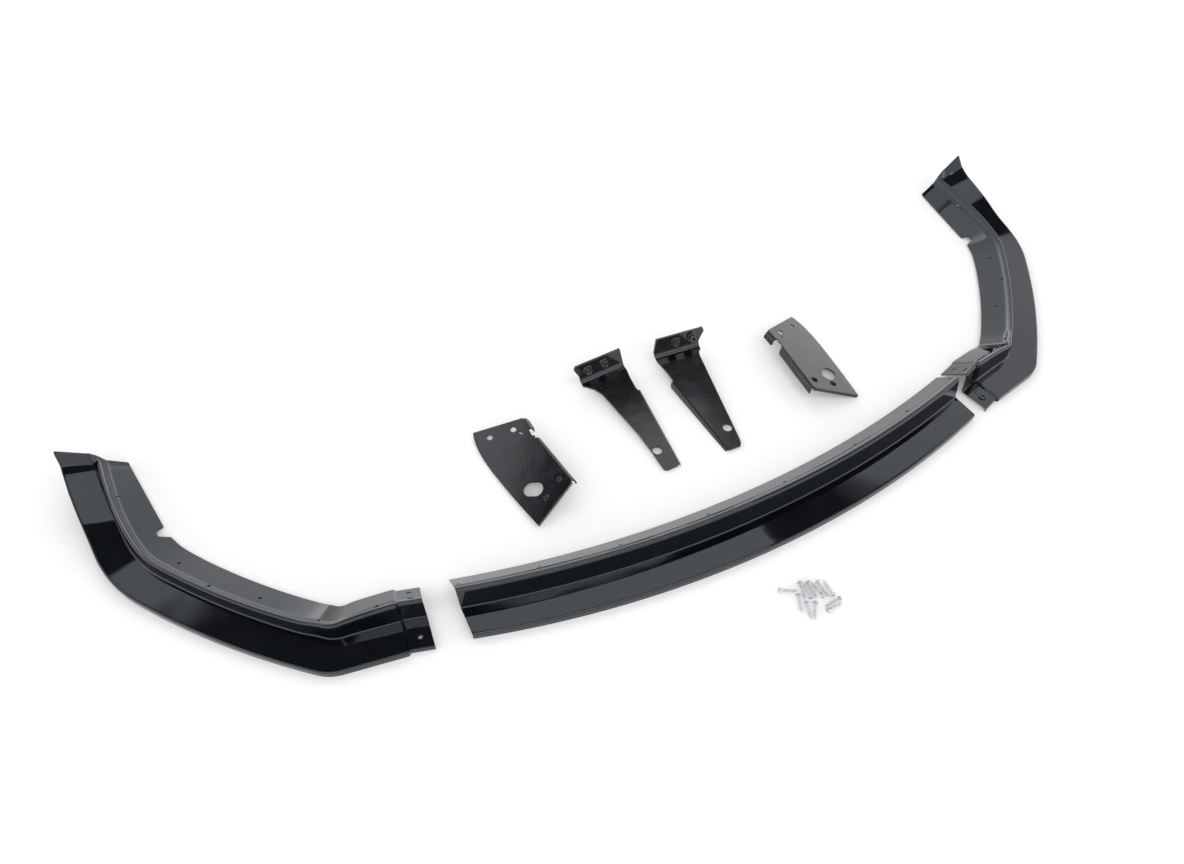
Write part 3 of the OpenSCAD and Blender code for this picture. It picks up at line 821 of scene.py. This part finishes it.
def screw_tree():
    """One screw along Z, head first, set on every point of the mesh that the tree runs on."""
    tree, given = node_group("loose_screws", [
        ("Length", "Float", screw_long * MM), ("Width", "Float", screw_wide * MM),
        ("Head width", "Float", head_wide * MM), ("Head height", "Float", head_tall * MM),
        ("Pitch", "Float", thread_pitch * MM), ("Root", "Float", thread_root), ("Finish", "Material", None)])
    length, pitch, root = given["Length"], given["Pitch"], given["Root"]
    rod = Wire.node(tree, "GeometryNodeMeshCylinder", None,
                    {"Vertices": 24, "Side Segments": 130, "Radius": given["Width"] * 0.5, "Depth": length})

    def threaded(x, y, z):
        """A ridge that climbs round the shank, and a taper down to the point."""
        turn = x.maths("ARCTAN2", y, x) / math.tau
        wave = abs(x.maths("FRACT", z / pitch - turn) * 2.0 - 1.0)
        ridge = between(wave, 0.35, 1.0) * between(z, thread_starts * MM, thread_full * MM)
        taper = 0.14 + 0.86 * between(length - z, 0.0, point_long * MM)
        return (root + (1.0 - root) * ridge) * taper

    def domed(x, y, z):
        """The head draws in towards its top."""
        return 1.0 - 0.30 * between(z * -1.0, 0.3 * MM, head_tall * MM) ** 2.2

    shank = spread_out(tree, shifted(tree, rod, length * 0.5), threaded)
    drum = Wire.node(tree, "GeometryNodeMeshCylinder", None,
                     {"Vertices": 40, "Side Segments": 10, "Radius": given["Head width"] * 0.5,
                      "Depth": given["Head height"]})
    dome = spread_out(tree, shifted(tree, drum, given["Head height"] * -0.5), domed)
    recess = tree.nodes.new("GeometryNodeMeshBoolean")
    recess.operation = "DIFFERENCE"
    tree.links.new(dome.socket, recess.inputs["Mesh 1"])
    for wide, deep in ((recess_long, recess_wide), (recess_wide, recess_long)):
        bar = Wire.node(tree, "GeometryNodeMeshCube", None,
                        {"Size": (wide * MM, deep * MM, 2 * recess_deep * MM)})
        bar = Wire.node(tree, "GeometryNodeTransform", None,
                        {"Geometry": bar, "Translation": (0.0, 0.0, -head_tall * MM)})
        tree.links.new(bar.socket, recess.inputs["Mesh 2"])
    whole = tree.nodes.new("GeometryNodeJoinGeometry")
    for part in (shank.socket, recess.outputs["Mesh"]):
        tree.links.new(part, whole.inputs[0])
    laid_out = Wire.node(tree, "GeometryNodeInstanceOnPoints", None,
                         {"Points": given["Geometry"], "Instance": Wire(tree, whole.outputs[0]),
                          "Rotation": kept(tree, "turn")})
    real = Wire.node(tree, "GeometryNodeRealizeInstances", None, {"Geometry": laid_out})
    finished = {"Geometry": real, "Material": given["Finish"]}
    end_group(tree, Wire.node(tree, "GeometryNodeSetMaterial", None, finished))
    return tree


zinc = zinc_plated_steel()
lie = math.asin((head_wide / 2 - screw_wide / 2) / (screw_long - rests_from_point))
screw_places = []
for x, y, heading in screw_at:
    at = Vector((x, y, head_wide / 2 * math.cos(lie))) + set_place
    screw_places.append((at, (0.0, math.pi / 2 + lie, math.radians(heading)), (1, 1, 1)))
screws = placed_points("screw_places", screw_places)
run_group(screws, screw_tree(), finish=zinc)
screws = settle(screws, "screws")
screws.data.shade_smooth()
screws.data.set_sharp_from_angle(angle=math.radians(38))
belongs(screws, [f"screw_{i + 1}" for i in range(len(screw_at))])

# ---- Floor, backdrop and lamps ----
# A pale floor that runs out to white under bright walls and a dark ceiling. Two soft panels in the ceiling
# behind the set show as grey in the polish, and a narrow lamp in front brightens the folded edges.
floor_albedo = 0.88
floor_glow = 0.12
floor_half = 30.0
floor_gap = 0.00005


def pale_floor():
    """A matt pale floor that shows white to the eye and in reflections, and keeps its shadows."""
    material, tree, shader, place = finish("pale_floor", (floor_albedo, floor_albedo, floor_albedo))
    shader.inputs["Roughness"].default_value = 0.9
    shader.inputs["Specular IOR Level"].default_value = 0.0
    shader.inputs["Emission Color"].default_value = (1.0, 1.0, 1.0, 1.0)
    path = tree.nodes.new("ShaderNodeLightPath")
    camera_ray, glossy_ray, clear_ray = (
        Wire(tree, path.outputs[ray]) for ray in ("Is Camera Ray", "Is Glossy Ray", "Is Transmission Ray"))
    feed((camera_ray + glossy_ray + clear_ray) * floor_glow, shader, "Emission Strength")
    return material


floor_mesh = bpy.data.meshes.new("floor")
floor_corners = [(x * floor_half, y * floor_half, -floor_gap)
                 for x, y in ((-1, -1), (1, -1), (1, 1), (-1, 1))]
floor_mesh.from_pydata(floor_corners, [], [(0, 1, 2, 3)])
floor_mesh.materials.append(pale_floor())
floor = plain_object("floor", floor_mesh)

world = bpy.data.worlds.new("studio")
bpy.context.scene.world = world
world.use_nodes = True
sky = world.node_tree
backdrop = sky.nodes["Background"]
across, _, height = split(Wire.node(sky, "ShaderNodeTexCoord", out="Generated"))
wall_light = 1.48 - 0.20 * height + 1.3 * (1.0 - between(height, 0.08, 0.30))
ceiling = between(height + 0.06 * across, 0.762, 0.780)
level = wall_light * (1.0 - 0.95 * ceiling)
shown = Wire(sky, sky.nodes.new("ShaderNodeLightPath").outputs["Is Camera Ray"])
backdrop.inputs["Color"].default_value = (1.0, 1.0, 1.0, 1.0)
feed(level + (1.0 - level) * shown, backdrop, "Strength")


def soft_lamp(name, place, target, wide, deep, power):
    """A rectangular lamp of that size in metres, aimed at the target."""
    lamp = bpy.data.lights.new(name, "AREA")
    lamp.shape = "RECTANGLE"
    lamp.size = wide
    lamp.size_y = deep
    lamp.energy = power
    made = bpy.data.objects.new(name, lamp)
    made.location = place
    made.rotation_euler = (Vector(target) - Vector(place)).to_track_quat("-Z", "Y").to_euler()
    bpy.context.scene.collection.objects.link(made)


soft_lamp("ceiling_panel", (1.4, 2.25, 5.0), (1.4, 2.25, 0.0), 2.6, 1.4, 16.0)
soft_lamp("far_panel", (0.65, 3.82, 5.0), (0.65, 3.82, 0.0), 1.3, 1.74, 10.0)
soft_lamp("edge_light", (0.0, -1.1, 3.2), (0.0, 0.0, 0.0), 3.0, 0.4, 22.0)

bpy.context.scene.view_settings.view_transform = "Standard"
